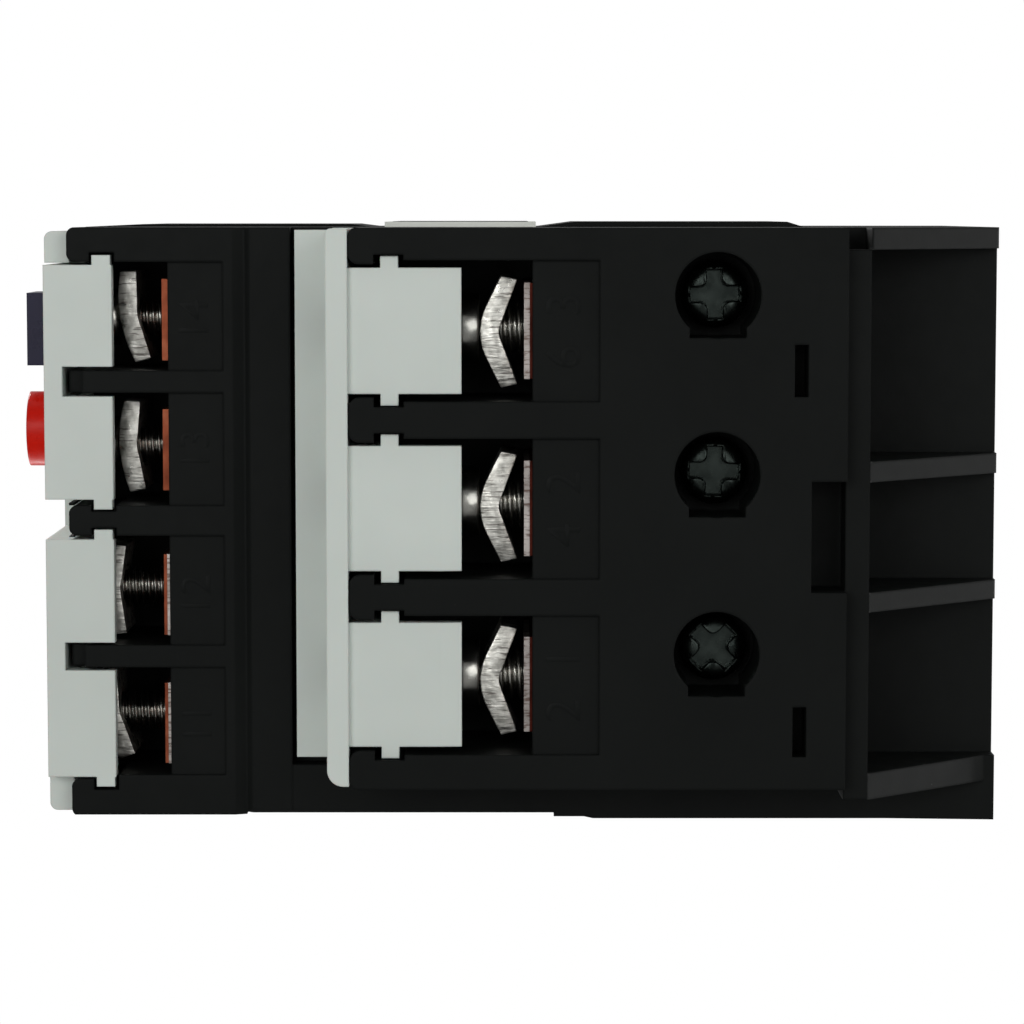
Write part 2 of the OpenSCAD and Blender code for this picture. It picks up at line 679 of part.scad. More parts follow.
base_housing();
rear_cover();
mechanism_housing();
front_cover();
power_terminal_cover();
aux_shroud_right();
aux_shroud_left();
window_cover();
window_hinge_pin();
rating_label(1);  // rating_label_right
rating_label(-1);  // rating_label_left
contactor_hook();
power_screw(0);  // power_screw_1
power_screw(1);  // power_screw_2
power_screw(2);  // power_screw_3
power_clamp(0);  // power_clamp_1
power_clamp(1);  // power_clamp_2
power_clamp(2);  // power_clamp_3
load_terminal(0);  // load_terminal_1
load_terminal(1);  // load_terminal_2
load_terminal(2);  // load_terminal_3
power_nut_plates();
aux_screw(0);  // aux_screw_1
aux_screw(1);  // aux_screw_2
aux_screw(2);  // aux_screw_3
aux_screw(3);  // aux_screw_4
aux_clamp(0);  // aux_clamp_1
aux_clamp(1);  // aux_clamp_2
aux_clamp(2);  // aux_clamp_3
aux_clamp(3);  // aux_clamp_4
aux_terminal(0);  // aux_terminal_1
aux_terminal(1);  // aux_terminal_2
aux_terminal(2);  // aux_terminal_3
aux_terminal(3);  // aux_terminal_4
aux_nut_plates();
input_pin(0);  // input_pin_1
input_pin(1);  // input_pin_2
input_pin(2);  // input_pin_3
bimetal(0);  // bimetal_1
bimetal(1);  // bimetal_2
bimetal(2);  // bimetal_3
heater_winding(0);  // heater_winding_1
heater_winding(1);  // heater_winding_2
heater_winding(2);  // heater_winding_3
heater_fixing_screws();
drive_bar();
differential_bar();
trip_lever();
trip_lever_pin();
compensation_strip();
contact_carrier();
nc_bridge();
no_bridge();
trip_flag();
setting_dial();
reset_button();
coil_spring(reset_at[0], reset_at[1]);  // reset_spring
stop_button();
coil_spring(stop_at[0], stop_at[1]);  // stop_spring
test_button();
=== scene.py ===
import json
import math

import bmesh
import bpy
from mathutils import Matrix, Vector


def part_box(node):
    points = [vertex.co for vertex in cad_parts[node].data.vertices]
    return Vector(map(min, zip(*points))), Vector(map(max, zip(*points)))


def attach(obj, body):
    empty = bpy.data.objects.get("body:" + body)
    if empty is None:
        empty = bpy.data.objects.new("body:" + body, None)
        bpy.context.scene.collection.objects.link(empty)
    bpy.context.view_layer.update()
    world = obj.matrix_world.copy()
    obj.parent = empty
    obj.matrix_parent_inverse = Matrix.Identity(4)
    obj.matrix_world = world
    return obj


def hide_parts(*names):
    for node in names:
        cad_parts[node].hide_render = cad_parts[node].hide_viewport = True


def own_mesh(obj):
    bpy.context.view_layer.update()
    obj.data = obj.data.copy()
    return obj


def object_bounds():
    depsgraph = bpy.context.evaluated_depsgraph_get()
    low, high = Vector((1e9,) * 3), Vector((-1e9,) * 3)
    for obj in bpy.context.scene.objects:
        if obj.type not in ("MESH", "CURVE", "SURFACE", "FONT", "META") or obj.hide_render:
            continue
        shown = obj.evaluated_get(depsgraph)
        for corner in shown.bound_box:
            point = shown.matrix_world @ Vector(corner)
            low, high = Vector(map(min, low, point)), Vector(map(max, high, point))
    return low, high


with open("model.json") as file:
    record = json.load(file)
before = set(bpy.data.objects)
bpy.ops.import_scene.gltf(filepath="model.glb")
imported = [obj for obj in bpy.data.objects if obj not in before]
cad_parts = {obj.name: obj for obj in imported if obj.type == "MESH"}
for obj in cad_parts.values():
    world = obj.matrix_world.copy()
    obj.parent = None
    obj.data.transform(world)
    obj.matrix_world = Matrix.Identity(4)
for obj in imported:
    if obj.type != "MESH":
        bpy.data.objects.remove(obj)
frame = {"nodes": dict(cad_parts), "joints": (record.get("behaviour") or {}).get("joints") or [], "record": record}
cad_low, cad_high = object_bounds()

MM = 0.001
# how far the floor lies under the relay
FLOOR_GAP = 0.3 * MM
# how far print and plating stand proud
SKIN = 0.02 * MM
# height of the moulded numbers
RELIEF = 0.05 * MM
# how far a screw's rod runs into its head
ROD_OVERLAP = 0.1 * MM

POWER_SCREW = {"thread_radius": 2.0 * MM, "pitch": 0.7 * MM, "head_radius": 2.7 * MM, "head_height": 2.6 * MM}
AUX_SCREW = {"thread_radius": 1.5 * MM, "pitch": 0.5 * MM, "head_radius": 2.2 * MM, "head_height": 2.1 * MM}
POWER_CLAMP = {"width": 8.3 * MM, "tip": 1.55 * MM, "thick": 1.35 * MM, "reach": 1.9 * MM, "hole": 2.5 * MM}
AUX_CLAMP = {"width": 7.1 * MM, "tip": 0.57 * MM, "thick": 1.3 * MM, "reach": 2.8 * MM, "hole": 1.85 * MM}
POWER_CLAMP_SHIFT = -0.2 * MM
# of each auxiliary clamp: the fold's place along Y, and the degrees that the clamp sits askew
AUX_FOLDS = ((-30.5 * MM, -12), (-30.4 * MM, 0), (-29 * MM, -3.3), (-28.85 * MM, -9.2))
# of each black screw on the underside: its place along X, and its recess's turn
FIXING_SCREWS = ((17.6 * MM, 0.03), (4.5 * MM, -0.04), (-8.7 * MM, math.pi / 4))

nodes = frame["nodes"]
body_of_node = {n: b for b, ns in frame["record"]["behaviour"]["bodies"].items() for n in ns}
slot_of_node = {s["node"]: s["material_slot"] for s in frame["record"]["subparts"]}


# ---------------------------------------------------------------- materials

def rgb(red, green, blue):
    """A linear colour from display values of 0 to 255."""
    def linear(v):
        c = v / 255
        return c / 12.92 if c <= 0.04045 else ((c + 0.055) / 1.055) ** 2.4
    return (linear(red), linear(green), linear(blue), 1)


class Shader:
    """A principled material with short calls for its nodes."""

    def __init__(self, name, **sockets):
        self.material = bpy.data.materials.new(name)
        self.material.use_nodes = True
        self.tree = self.material.node_tree
        self.main = self.tree.nodes["Principled BSDF"]
        self.place = self.add("ShaderNodeTexCoord").outputs["Object"]
        for key, value in sockets.items():
            self.main.inputs[key.replace("_", " ")].default_value = value

    def add(self, kind, **values):
        node = self.tree.nodes.new(kind)
        for key, value in values.items():
            setattr(node, key, value)
        return node

    def link(self, source, target):
        self.tree.links.new(source, target)

    def noise(self, scale, detail=3, stretch=(1, 1, 1)):
        """Noise, with scale in features per metre."""
        squeeze = self.add("ShaderNodeMapping")
        squeeze.inputs["Scale"].default_value = stretch
        self.link(self.place, squeeze.inputs["Vector"])
        node = self.add("ShaderNodeTexNoise")
        node.inputs["Scale"].default_value = scale
        node.inputs["Detail"].default_value = detail
        node.inputs["Roughness"].default_value = 0.55
        self.link(squeeze.outputs[0], node.inputs["Vector"])
        return node.outputs["Fac"]

    def ramp(self, value, stops):
        """A colour ramp through (position, colour) stops."""
        node = self.add("ShaderNodeValToRGB")
        while len(node.color_ramp.elements) < len(stops):
            node.color_ramp.elements.new(0.5)
        for element, (position, colour) in zip(node.color_ramp.elements, stops):
            element.position = position
            element.color = colour
        self.link(value, node.inputs["Fac"])
        return node.outputs["Color"]

    def spread(self, value, low, high, start=0.3, end=0.7):
        """Maps a noise value from start..end to low..high."""
        node = self.add("ShaderNodeMapRange")
        for key, number in zip(("From Min", "From Max", "To Min", "To Max"), (start, end, low, high)):
            node.inputs[key].default_value = number
        self.link(value, node.inputs["Value"])
        return node.outputs["Result"]

    def mix(self, factor, a, b):
        node = self.add("ShaderNodeMix", data_type="RGBA")
        self.link(factor, node.inputs["Factor"])
        for socket, value in ((node.inputs[6], a), (node.inputs[7], b)):
            if isinstance(value, tuple):
                socket.default_value = value
            else:
                self.link(value, socket)
        return node.outputs[2]

    def specks(self, scale, size, share):
        """Dots of dust: one chance per cell, on a share of the cells."""
        node = self.add("ShaderNodeTexVoronoi")
        node.inputs["Scale"].default_value = scale
        self.link(self.place, node.inputs["Vector"])
        near = self.spread(node.outputs["Distance"], 1, 0, size * 0.5, size)
        lucky = self.spread(node.outputs["Color"], 0, 1, 1 - share - 0.01, 1 - share)
        both = self.add("ShaderNodeMath", operation="MULTIPLY")
        self.link(near, both.inputs[0])
        self.link(lucky, both.inputs[1])
        return both.outputs[0]

    def bump(self, layers, edge=0.0):
        """Bumps one after the other: (height, distance in metres, strength). Edge rounds corners first."""
        normal = None
        if edge:
            rounding = self.add("ShaderNodeBevel", samples=4)
            rounding.inputs["Radius"].default_value = edge
            normal = rounding.outputs["Normal"]
        for height, distance, strength in layers:
            node = self.add("ShaderNodeBump")
            node.inputs["Distance"].default_value = distance
            node.inputs["Strength"].default_value = strength
            self.link(height, node.inputs["Height"])
            if normal is not None:
                self.link(normal, node.inputs["Normal"])
            normal = node.outputs["Normal"]
        if normal is not None:
            self.link(normal, self.main.inputs["Normal"])

    def colour(self, source):
        self.link(source, self.main.inputs["Base Color"])

    def rough(self, source):
        self.link(source, self.main.inputs["Roughness"])


def black_plastic(name, edge):
    s = Shader(name, Specular_IOR_Level=0.07)
    cloud = s.noise(90, 4)
    grain = s.noise(5200, 2)
    tone = s.ramp(cloud, [(0.3, rgb(12, 14, 13)), (0.7, rgb(16, 18, 17))])
    tone = s.mix(s.specks(420, 0.045, 0.22), tone, rgb(130, 132, 132))
    tone = s.mix(s.specks(1300, 0.07, 0.05), tone, rgb(150, 150, 148))
    s.colour(tone)
    s.rough(s.spread(s.noise(700, 3), 0.47, 0.55))
    s.bump([(grain, 0.00002, 0.35), (s.noise(500, 3), 0.00003, 0.04)], edge=edge)
    return s.material


def grey_plastic():
    s = Shader("grey_plastic", Specular_IOR_Level=0.4, Subsurface_Weight=0.06, Subsurface_Scale=0.0008)
    tone = s.ramp(s.noise(70, 3), [(0.3, rgb(190, 197, 191)), (0.7, rgb(197, 204, 198))])
    tone = s.mix(s.specks(300, 0.04, 0.12), tone, rgb(140, 143, 140))
    s.colour(tone)
    s.rough(s.spread(s.noise(600, 3), 0.34, 0.5))
    s.bump([(s.noise(3000, 2), 0.00001, 0.25)], edge=0.0002)
    return s.material


def pale_plastic():
    s = Shader("pale_plastic", Specular_IOR_Level=0.4)
    s.colour(s.ramp(s.noise(120, 3), [(0.3, rgb(205, 198, 178)), (0.7, rgb(218, 212, 196))]))
    s.rough(s.spread(s.noise(900, 2), 0.35, 0.5))
    s.bump([(s.noise(3000, 2), 0.00001, 0.2)], edge=0.0001)
    return s.material


def clear_plastic():
    s = Shader("clear_plastic", Base_Color=(0.93, 0.96, 0.97, 1), Transmission_Weight=1.0, IOR=1.46)
    s.rough(s.spread(s.noise(300, 3), 0.02, 0.07))
    s.bump([(s.noise(260, 3), 0.00001, 0.05)])
    return s.material


def zinc_steel():
    s = Shader("zinc_steel", Metallic=1.0)
    stops = [(0.3, rgb(126, 127, 123)), (0.55, rgb(156, 155, 149)), (0.75, rgb(180, 179, 172))]
    s.colour(s.ramp(s.noise(500, 4), stops))
    s.rough(s.spread(s.noise(900, 4), 0.17, 0.28))
    s.bump([(s.noise(1800, 3), 0.00002, 0.25)], edge=0.00008)
    return s.material


def sheared_steel():
    """Zinc-plated strip whose cut edges show the shear's fine lines."""
    s = Shader("sheared_steel", Metallic=1.0)
    lines = s.noise(1500, 3, stretch=(2.2, 0.35, 0.5))
    tear = s.noise(1100, 4)
    tone = s.ramp(tear, [(0.3, rgb(148, 147, 141)), (0.5, rgb(196, 195, 188)), (0.7, rgb(230, 229, 222))])
    scores = s.spread(s.noise(1900, 2, stretch=(3, 0.3, 1)), 0, 0.75, 0.58, 0.65)
    tone = s.mix(scores, tone, rgb(76, 70, 66))
    s.colour(tone)
    s.rough(s.spread(s.noise(1300, 3), 0.24, 0.5))
    s.bump([(lines, 0.00008, 0.6), (tear, 0.00006, 0.45)], edge=0.0001)
    return s.material


def black_steel():
    s = Shader("black_steel", Metallic=1.0)
    s.colour(s.ramp(s.noise(700, 4), [(0.35, rgb(38, 43, 41)), (0.7, rgb(54, 60, 57))]))
    s.rough(s.spread(s.noise(1000, 4), 0.2, 0.36))
    s.bump([(s.noise(1500, 4), 0.00003, 0.2)], edge=0.0001)
    return s.material


def copper():
    s = Shader("copper", Metallic=1.0)
    stops = [(0.3, rgb(90, 44, 30)), (0.55, rgb(122, 64, 44)), (0.8, rgb(146, 88, 64))]
    s.colour(s.ramp(s.noise(450, 4), stops))
    s.rough(s.spread(s.noise(800, 3), 0.28, 0.48))
    s.bump([(s.noise(1600, 3), 0.00002, 0.25)], edge=0.00006)
    return s.material


def bare_copper():
    """The copper that shows at the sheared edge of a tinned strip."""
    s = Shader("bare_copper", Metallic=1.0)
    s.colour(s.ramp(s.noise(500, 4), [(0.3, rgb(46, 18, 14)), (0.7, rgb(80, 34, 26))]))
    s.rough(s.spread(s.noise(800, 3), 0.35, 0.55))
    s.bump([(s.noise(1600, 3), 0.00002, 0.25)], edge=0.00006)
    return s.material


def tinned_copper():
    s = Shader("tinned_copper", Metallic=1.0)
    s.colour(s.ramp(s.noise(240, 3), [(0.3, rgb(176, 174, 170)), (0.7, rgb(206, 205, 202))]))
    s.rough(s.spread(s.noise(700, 3), 0.25, 0.4))
    s.bump([(s.noise(1500, 3), 0.00002, 0.2)], edge=0.00006)
    return s.material


def worn_tin():
    """Tin over copper, worn through in fine lines."""
    s = Shader("worn_tin", Metallic=1.0)
    tone = s.ramp(s.noise(420, 4), [(0.3, rgb(140, 133, 128)), (0.7, rgb(186, 180, 176))])
    worn = s.spread(s.noise(2200, 3, stretch=(2.5, 0.4, 1)), 0, 0.8, 0.5, 0.62)
    s.colour(s.mix(worn, tone, rgb(84, 62, 54)))
    s.rough(s.spread(s.noise(700, 3), 0.25, 0.42))
    s.bump([(s.noise(1500, 3), 0.00002, 0.25)], edge=0.00006)
    return s.material


def bimetal():
    s = Shader("bimetal", Metallic=1.0)
    drawn = s.noise(300, 3, stretch=(1, 4, 0.3))
    s.colour(s.ramp(drawn, [(0.3, rgb(138, 128, 112)), (0.7, rgb(172, 164, 150))]))
    s.rough(s.spread(s.noise(900, 3), 0.3, 0.5))
    s.bump([(s.noise(1800, 2, stretch=(1, 4, 0.2)), 0.00002, 0.2)])
    return s.material


def heater_wire():
    s = Shader("heater_wire", Metallic=1.0)
    s.colour(s.ramp(s.noise(600, 3), [(0.3, rgb(104, 92, 80)), (0.7, rgb(150, 136, 120))]))
    s.rough(s.spread(s.noise(900, 3), 0.35, 0.55))
    s.bump([(s.noise(1800, 2), 0.00002, 0.2)])
    return s.material


def gloss(name, low, high):
    s = Shader(name, Specular_IOR_Level=0.15)
    s.colour(s.ramp(s.noise(160, 3), [(0.3, low), (0.7, high)]))
    s.rough(s.spread(s.noise(600, 3), 0.24, 0.38))
    s.bump([(s.noise(2600, 2), 0.00001, 0.15)], edge=0.00025)
    return s.material


def label():
    s = Shader("label", Specular_IOR_Level=0.4)
    s.colour(s.ramp(s.noise(200, 3), [(0.3, rgb(212, 215, 207)), (0.7, rgb(224, 227, 219))]))
    s.rough(s.spread(s.noise(900, 3), 0.3, 0.42))
    s.bump([(s.noise(2000, 2), 0.00001, 0.15)])
    return s.material


def dial_plastic():
    s = Shader("dial_plastic", Specular_IOR_Level=0.45)
    s.colour(s.ramp(s.noise(150, 3), [(0.3, rgb(224, 221, 208)), (0.7, rgb(236, 234, 224))]))
    s.rough(s.spread(s.noise(800, 3), 0.32, 0.46))
    s.bump([(s.noise(3000, 2), 0.00001, 0.15)], edge=0.0001)
    return s.material


def brass_bar():
    s = Shader("brass_bar", Metallic=1.0)
    s.colour(s.ramp(s.noise(400, 3), [(0.3, rgb(176, 140, 70)), (0.7, rgb(208, 176, 104))]))
    s.rough(s.spread(s.noise(900, 3), 0.28, 0.45))
    s.bump([(s.noise(1800, 2), 0.00002, 0.2)])
    return s.material


def ink():
    s = Shader("ink", Specular_IOR_Level=0.3)
    s.colour(s.ramp(s.noise(900, 3), [(0.3, rgb(20, 22, 24)), (0.7, rgb(34, 36, 38))]))
    s.rough(s.spread(s.noise(900, 2), 0.45, 0.6))
    return s.material


MATERIALS = {
    "black_plastic": black_plastic("black_plastic", 0.3 * MM),
    "moulded_mark": black_plastic("moulded_mark", 0),
    "grey_plastic": grey_plastic(),
    "pale_plastic": pale_plastic(),
    "clear_plastic": clear_plastic(),
    "zinc_steel": zinc_steel(),
    "sheared_steel": sheared_steel(),
    "black_steel": black_steel(),
    "copper": copper(),
    "bare_copper": bare_copper(),
    "tinned_copper": tinned_copper(),
    "worn_tin": worn_tin(),
    "bimetal": bimetal(),
    "heater_wire": heater_wire(),
    "blue_button": gloss("blue_button", rgb(26, 24, 42), rgb(34, 32, 54)),
    "red_button": gloss("red_button", rgb(186, 18, 4), rgb(204, 26, 8)),
    "flag_orange": gloss("flag_orange", rgb(222, 110, 20), rgb(236, 130, 34)),
    "dial_plastic": dial_plastic(),
    "label": label(),
    "brass_bar": brass_bar(),
    "ink": ink(),
}


# ---------------------------------------------------------------- pieces

def middle(node):
    low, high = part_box(node)
    return (low + high) / 2


def piece(name, bm, material, body, replaced=(), smooth=40):
    """Turns a bmesh in metres into a piece on a body. Edges under smooth degrees are shaded smooth."""
    bmesh.ops.remove_doubles(bm, verts=bm.verts, dist=1e-7)
    bmesh.ops.recalc_face_normals(bm, faces=bm.faces)
    mesh = bpy.data.meshes.new(name)
    bm.to_mesh(mesh)
    bm.free()
    made = bpy.data.objects.new(name, mesh)
    bpy.context.scene.collection.objects.link(made)
    mesh.materials.append(MATERIALS[material])
    mesh.shade_smooth()
    mesh.set_sharp_from_angle(angle=math.radians(smooth))
    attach(made, body)
    if replaced:
        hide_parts(*replaced)
    return made


def lathe(bm, profile, steps):
    """Turns (radius, height) points round Z. A radius of 0 closes an end."""
    rings = []
    for radius, height in profile:
        if radius == 0:
            rings.append([bm.verts.new((0, 0, height))])
            continue
        angles = [math.tau * k / steps for k in range(steps)]
        rings.append([bm.verts.new((radius * math.cos(a), radius * math.sin(a), height)) for a in angles])
    for low, high in zip(rings, rings[1:]):
        for k in range(steps):
            corners = (
                low[k % len(low)], low[(k + 1) % len(low)], high[(k + 1) % len(high)], high[k % len(high)]
            )
            unique = list(dict.fromkeys(corners))
            if len(unique) > 2:
                bm.faces.new(unique)


def thread(bm, radius, pitch, start, end, steps=28, rows=8):
    """A threaded rod along Z, from start to end, closed at both ends."""
    depth = pitch * 0.6
    count = int((end - start) / pitch * rows)
    rings = []
    for i in range(count + 1):
        height = start + (end - start) * i / count
        taper = min(1, (end - height) / pitch, (height - start) / pitch * 2)
        ring = []
        for k in range(steps):
            phase = (height / pitch - k / steps) % 1
            crest = max(0, min(1, 2.4 * abs(phase - 0.5) * 2 - 0.7))
            r = radius - depth * (1 - crest * max(0, taper))
            angle = math.tau * k / steps
            ring.append(bm.verts.new((r * math.cos(angle), r * math.sin(angle), height)))
        rings.append(ring)
    for low, high in zip(rings, rings[1:]):
        for k in range(steps):
            bm.faces.new((low[k], low[(k + 1) % steps], high[(k + 1) % steps], high[k]))
    bm.faces.new(rings[0][::-1])
    bm.faces.new(rings[-1])


def carve(bm, cutters):
    """Subtracts closed bmeshes from a closed bmesh, and returns the result."""
    def temporary(name, source):
        mesh = bpy.data.meshes.new(name)
        bmesh.ops.recalc_face_normals(source, faces=source.faces)
        source.to_mesh(mesh)
        source.free()
        held = bpy.data.objects.new(name, mesh)
        bpy.context.scene.collection.objects.link(held)
        return held

    target = temporary("carve_target", bm)
    tools = [temporary(f"carve_tool_{k}", c) for k, c in enumerate(cutters)]
    for tool in tools:
        cut = target.modifiers.new("cut", "BOOLEAN")
        cut.operation = "DIFFERENCE"
        cut.solver = "EXACT"
        cut.object = tool
    result = bmesh.new()
    result.from_object(target, bpy.context.evaluated_depsgraph_get())
    for held in [target, *tools]:
        mesh = held.data
        bpy.data.objects.remove(held)
        bpy.data.meshes.remove(mesh)
    return result


def block(low, high):
    """A closed box between two corners, as a bmesh."""
    bm = bmesh.new()
    size = Vector(high) - Vector(low)
    bmesh.ops.create_cube(bm, size=1)
    bmesh.ops.scale(bm, vec=size, verts=bm.verts)
    bmesh.ops.translate(bm, vec=(Vector(low) + Vector(high)) / 2, verts=bm.verts)
    return bm


def prism(outline, z0, z1):
    """A closed prism over an outline of (x, y) points, as a bmesh."""
    bm = bmesh.new()
    low = [bm.verts.new((x, y, z0)) for x, y in outline]
    high = [bm.verts.new((x, y, z1)) for x, y in outline]
    bm.faces.new(low[::-1])
    bm.faces.new(high)
    for k in range(len(outline)):
        n = (k + 1) % len(outline)
        bm.faces.new((low[k], low[n], high[n], high[k]))
    return bm


def plus_outline(span, width, fillet, turn):
    """A plus with rounded inner corners."""
    points = []
    for quarter in range(4):
        spin = turn + quarter * math.pi / 2
        corner = [(span / 2, -width / 2), (span / 2, width / 2)]
        for k in range(5):
            a = -math.pi / 2 - k / 4 * math.pi / 2
            corner.append((width / 2 + fillet * (1 + math.cos(a)), width / 2 + fillet * (1 + math.sin(a))))
        c, s = math.cos(spin), math.sin(spin)
        points += [(x * c - y * s, x * s + y * c) for x, y in corner]
    return points


def cross_cutter(span, width, depth, turn):
    """A cruciform recess that opens at z = 0, with tapered sides and a flat floor at -depth."""
    bm = bmesh.new()
    rings = []
    for z, reach, wide in ((0.3 * MM, 1, 1), (-depth, 0.92, 0.86)):
        outline = plus_outline(span * reach, width * wide, width * wide * 0.5, turn)
        rings.append([bm.verts.new((x, y, z)) for x, y in outline])
    for high, low in zip(rings, rings[1:]):
        for i in range(len(high)):
            n = (i + 1) % len(high)
            bm.faces.new((high[i], low[i], low[n], high[n]))
    bm.faces.new(rings[0])
    bm.faces.new(rings[-1][::-1])
    return bm


def sharp_edges(bm, above=-math.inf):
    """The edges where two faces meet at more than 50 degrees, with both ends higher than a level."""
    return [
        e for e in bm.edges
        if len(e.link_faces) == 2 and e.calc_face_angle(0) > math.radians(50)
        and min(v.co.z for v in e.verts) > above
    ]


def bore_along_y(radius, place, y0, y1):
    """A closed round cutter from y0 to y1 past a place."""
    bm = bmesh.new()
    lathe(bm, [(0, y0), (radius, y0), (radius, y1), (0, y1)], steps=40)
    return moved(bm, Matrix.Translation(place) @ Matrix.Rotation(-math.pi / 2, 4, "X"))


def moved(bm, matrix):
    bmesh.ops.transform(bm, matrix=matrix, verts=bm.verts)
    return bm


def joined(parts):
    """One bmesh from several."""
    whole = bmesh.new()
    for part in parts:
        mesh = bpy.data.meshes.new("join")
        part.to_mesh(mesh)
        whole.from_mesh(mesh)
        bpy.data.meshes.remove(mesh)
        part.free()
    return whole


def screw_head(radius, height, span, width, depth, turn):
    """A pan head on z = 0 with its rounded top at z = height and a cross recess."""
    bm = bmesh.new()
    crown = [(0, 0), (radius * 0.94, 0), (radius, height * 0.08), (radius, height * 0.55)]
    for k in range(1, 7):
        a = k / 7 * math.pi / 2
        crown.append((radius * (0.55 + 0.45 * math.cos(a)), height * (0.55 + 0.40 * math.sin(a))))
    crown += [(radius * 0.45, height * 0.975), (0, height)]
    lathe(bm, crown, steps=56)
    recess = moved(cross_cutter(span, width, depth, turn), Matrix.Translation((0, 0, height * 0.97)))
    head = carve(bm, [recess])
    rim = sharp_edges(head, above=height * 0.84)
    bmesh.ops.bevel(head, geom=rim, offset=width * 0.07, segments=2, profile=0.5, affect="EDGES")
    return head


def terminal_screw(node, turn, thread_radius, pitch, head_radius, head_height):
    """A terminal screw along Y in place of its plain CAD node. Its head is at the low Y end."""
    low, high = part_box(node)
    centre = middle(node)
    span, width, depth = head_radius * 1.3, head_radius * 0.36, head_height * 0.6
    head = screw_head(head_radius, head_height, span, width, depth, turn)
    rod = bmesh.new()
    thread(rod, thread_radius, pitch, -(high.y - low.y - head_height), ROD_OVERLAP)
    # head top faces -Y: local +Z becomes -Y
    place = Matrix.Translation((centre.x, low.y + head_height, centre.z))
    whole = moved(joined([head, rod]), place @ Matrix.Rotation(math.pi / 2, 4, "X"))
    piece(f"{node}_threaded", whole, "zinc_steel", body_of_node[node], replaced=[node], smooth=50)


def v_outline(width, tip, thick, reach, bend=5):
    """The folded strip seen along Z: apex at the front, arms going back, rounded as far out as reach."""
    half = width / 2
    slope = math.atan2(tip, half - reach / 2)
    front, back = [], []
    for k in range(-bend, bend + 1):
        a = slope * k / bend
        front.append((reach * math.sin(a) / math.sin(slope), reach * (1 - math.cos(a)) / math.sin(slope)))
    inner_reach = reach * 0.3
    for k in range(bend, -bend - 1, -1):
        a = slope * k / bend
        back.append((
            inner_reach * math.sin(a) / math.sin(slope),
            thick + 0.06 * MM + inner_reach * (1 - math.cos(a)) / math.sin(slope)
        ))
    tip_out = (half, tip)
    tip_in = (half - thick * math.sin(slope) * 0.45, tip + thick * math.cos(slope))
    mirrored = [(-tip_in[0], tip_in[1]), (-tip_out[0], tip_out[1])]
    return front + [tip_out, tip_in] + back + mirrored


def clamp(node, apex, width, tip, thick, reach, hole, shift=0.0, tilt=0.0):
    """A pressed V clamp in place of its plain CAD node, with a rounded bend. It may sit askew."""
    low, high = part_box(node)
    centre = middle(node.replace("clamp", "screw"))
    strip = prism(v_outline(width, tip, thick, reach), low.z, high.z)
    moved(strip, Matrix.Rotation(math.radians(tilt), 4, "Z"))
    strip = carve(strip, [bore_along_y(hole, (0, 0, centre.z), -4 * MM, 6 * MM)])
    bmesh.ops.bevel(strip, geom=sharp_edges(strip), offset=0.09 * MM, segments=2, profile=0.6, affect="EDGES")
    moved(strip, Matrix.Translation((centre.x + shift, apex, 0)))
    piece(f"{node}_pressed", strip, "sheared_steel", body_of_node[node], [node], smooth=35)


def plating(node, y0, y1, top, hole=None):
    """Tin on a copper strip, from y0 to y1. hole holds the strip's half width and the bore's radius."""
    low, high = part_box(node)
    centre = middle(node.replace("load_terminal", "power_screw").replace("terminal", "screw"))
    half = hole[0] if hole else 3.1 * MM
    skin = block((centre.x - half - SKIN, y0, low.z - SKIN), (centre.x + half + SKIN, y1, low.z + top))
    if hole:
        skin = carve(skin, [bore_along_y(hole[1], (centre.x, y0, centre.z), -4 * MM, 4 * MM)])
    piece(f"{node}_tin", skin, "worn_tin", body_of_node[node])


def fixing_screws():
    """The three black screws in the keyhole wells of the underside."""
    low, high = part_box("heater_fixing_screws")
    y = (low.y + high.y) / 2
    head_height = 2.0 * MM
    for k, (x, turn) in enumerate(FIXING_SCREWS, 1):
        head = screw_head(2.5 * MM, head_height, 3.8 * MM, 1.2 * MM, 1.1 * MM, turn)
        rod = bmesh.new()
        thread(rod, 1.5 * MM, 0.5 * MM, -(high.z - low.z - head_height), ROD_OVERLAP)
        # head top faces down: turn over round X
        place = Matrix.Translation((x, y, low.z + head_height)) @ Matrix.Rotation(math.pi, 4, "X")
        whole = moved(joined([head, rod]), place)
        name = f"heater_fixing_screw_{k}"
        piece(name, whole, "black_steel", "housing", replaced=["heater_fixing_screws"], smooth=50)


def helix(points, radius, axis, sides=8):
    """A tube along a list of points that wind round an axis, closed at both ends."""
    bm = bmesh.new()
    angles = [math.tau * i / sides for i in range(sides)]
    rings = []
    for k, p in enumerate(points):
        along = (points[min(len(points) - 1, k + 1)] - points[max(0, k - 1)]).normalized()
        side = (axis - along * along.dot(axis)).normalized()
        up = along.cross(side)
        rings.append([bm.verts.new(p + radius * (math.cos(a) * side + math.sin(a) * up)) for a in angles])
    for low, high in zip(rings, rings[1:]):
        for i in range(sides):
            bm.faces.new((low[i], low[(i + 1) % sides], high[(i + 1) % sides], high[i]))
    bm.faces.new(rings[0][::-1])
    bm.faces.new(rings[-1])
    return bm


def joint_row(name):
    return next(j for j in frame["joints"] if j["name"] == name)


